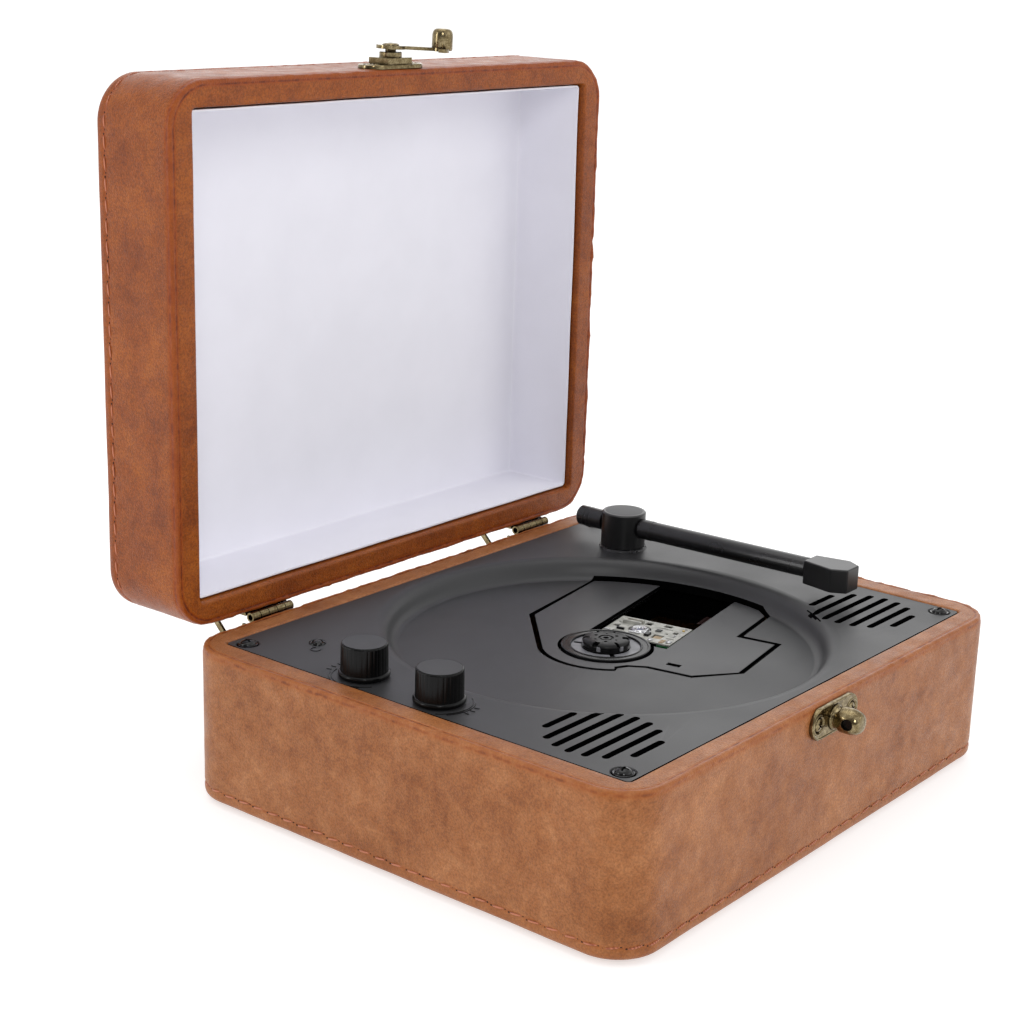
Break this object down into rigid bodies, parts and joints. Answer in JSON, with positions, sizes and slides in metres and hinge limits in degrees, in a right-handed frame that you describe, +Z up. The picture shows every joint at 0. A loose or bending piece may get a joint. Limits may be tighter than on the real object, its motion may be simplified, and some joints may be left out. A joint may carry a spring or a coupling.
{
  "type": "suitcase record player",
  "caption": "Leather-covered suitcase player standing open, with a disc well, laser pickup, speakers, two knobs, a dummy tonearm and a hinged, latched lid.",
  "frame": {"origin": "on the floor under the middle of the case's plan outline", "axes": "+X to the right seen from the front, -Y towards the front with the catch, +Z up"},
  "size_m": [0.198, 0.2065, 0.2226],
  "materials": {
    "leather": "mottled tan artificial leather",
    "board": "raw fibreboard",
    "liner": "matt white lining paper",
    "panel_plastic": "satin black",
    "knob_plastic": "gloss black",
    "grey_plastic": "satin grey",
    "steel": "polished",
    "circuit_board": "green lacquer",
    "battery_wrap": "blue shrink wrap",
    "speaker": "black paper cone",
    "rubber": "matt",
    "black_screw": "black",
    "brass": "antique, dark patina"
  },
  "bodies": {
    "case": {"battery_pack": "battery_wrap", "case_board": "board", "case_leather": "leather", "catch_plate": "brass", "catch_post": "brass", "catch_screw_1": "brass", "catch_screw_2": "brass", "deck_plate": "panel_plastic", "guide_rod_1": "steel", "guide_rod_2": "steel", "hinge_left_case_leaf": "brass", "hinge_left_pin": "brass", "hinge_right_case_leaf": "brass", "hinge_right_pin": "brass", "main_board": "circuit_board", "mechanism_frame": "panel_plastic", "mode_potentiometer": "grey_plastic", "panel_screw_1": "black_screw", "panel_screw_2": "black_screw", "panel_screw_3": "black_screw", "panel_screw_4": "black_screw", "power_socket": "knob_plastic", "rubber_foot_1": "rubber", "rubber_foot_2": "rubber", "rubber_foot_3": "rubber", "rubber_foot_4": "rubber", "sled_motor": "steel", "speaker_left": "speaker", "speaker_right": "speaker", "spindle_motor": "steel", "top_panel": "panel_plastic", "volume_potentiometer": "grey_plastic"},
    "volume_knob": {"volume_knob": "knob_plastic", "volume_shaft": "steel"},
    "mode_knob": {"mode_knob": "knob_plastic", "mode_shaft": "steel"},
    "tonearm": {"tonearm_turret": "panel_plastic", "tonearm_tube": "panel_plastic", "headshell": "panel_plastic", "counterweight": "panel_plastic"},
    "turntable": {"turntable": "knob_plastic", "disc_hub": "knob_plastic"},
    "pickup": {"pickup_sled": "grey_plastic", "pickup_lens": "steel"},
    "sled_gear": {"drive_gear": "grey_plastic"},
    "sled_pinion": {"motor_pinion": "steel"},
    "lid": {"lid_board": "board", "lid_leather": "leather", "lid_liner": "liner", "hinge_left_lid_leaf": "brass", "hinge_right_lid_leaf": "brass", "latch_plate": "brass", "latch_block": "brass", "latch_screw_1": "brass", "latch_screw_2": "brass"},
    "latch_hook": {"hook_arm": "brass", "hook_knob": "brass"},
    "stay_left": {"stay_left": "brass"},
    "stay_right": {"stay_right": "brass"}
  },
  "joints": [
    {"name": "lid_hinge", "type": "hinge", "parent": "case", "child": "lid", "pos_m": [0, 0.083, 0.04875], "axis": [1, 0, 0], "range_deg": [0, 90]},
    {"name": "latch_swing", "type": "hinge", "parent": "lid", "child": "latch_hook", "pos_m": [-0.0035, 0.089, 0.216], "axis": [0, 0, -1], "range_deg": [-100, 25]},
    {"name": "stay_left_swing", "type": "hinge", "parent": "lid", "child": "stay_left", "pos_m": [-0.0707, 0.099, 0.0466], "axis": [1, 0, 0], "range_deg": [-47, 0]},
    {"name": "stay_right_swing", "type": "hinge", "parent": "lid", "child": "stay_right", "pos_m": [0.0578, 0.099, 0.0466], "axis": [1, 0, 0], "range_deg": [-47, 0]},
    {"name": "volume_turn", "type": "hinge", "parent": "case", "child": "volume_knob", "pos_m": [-0.0809, 0.0257, 0.048], "axis": [0, 0, 1], "range_deg": [-150, 150]},
    {"name": "mode_turn", "type": "hinge", "parent": "case", "child": "mode_knob", "pos_m": [-0.0813, -0.0029, 0.048], "axis": [0, 0, 1], "range_deg": [-150, 150]},
    {"name": "tonearm_swing", "type": "hinge", "parent": "case", "child": "tonearm", "pos_m": [0.0716, 0.046, 0.048], "axis": [0, 0, 1], "range_deg": [-45, 0]},
    {"name": "disc_spin", "type": "hinge", "parent": "case", "child": "turntable", "pos_m": [0, 0, 0.042], "axis": [0, 0, 1], "continuous": true},
    {"name": "pickup_slide", "type": "slide", "parent": "case", "child": "pickup", "axis": [0.9848, 0.1736, 0], "range_m": [-0.0015, 0.0335]},
    {"name": "gear_turn", "type": "hinge", "parent": "case", "child": "sled_gear", "pos_m": [0.03468, -0.02394, 0.037], "axis": [0, 0, 1], "range_deg": [-344, 17]},
    {"name": "pinion_turn", "type": "hinge", "parent": "case", "child": "sled_pinion", "pos_m": [0.04335, -0.02241, 0.037], "axis": [0, 0, 1], "range_deg": [-29, 602]}
  ],
  "couplings": [
    {"joint": "stay_left_swing", "follows": "lid_hinge", "ratio": -0.5167},
    {"joint": "stay_right_swing", "follows": "lid_hinge", "ratio": -0.5167},
    {"joint": "gear_turn", "follows": "pickup_slide", "rad_per_m": -178.57},
    {"joint": "pinion_turn", "follows": "pickup_slide", "rad_per_m": 312.5}
  ]
}
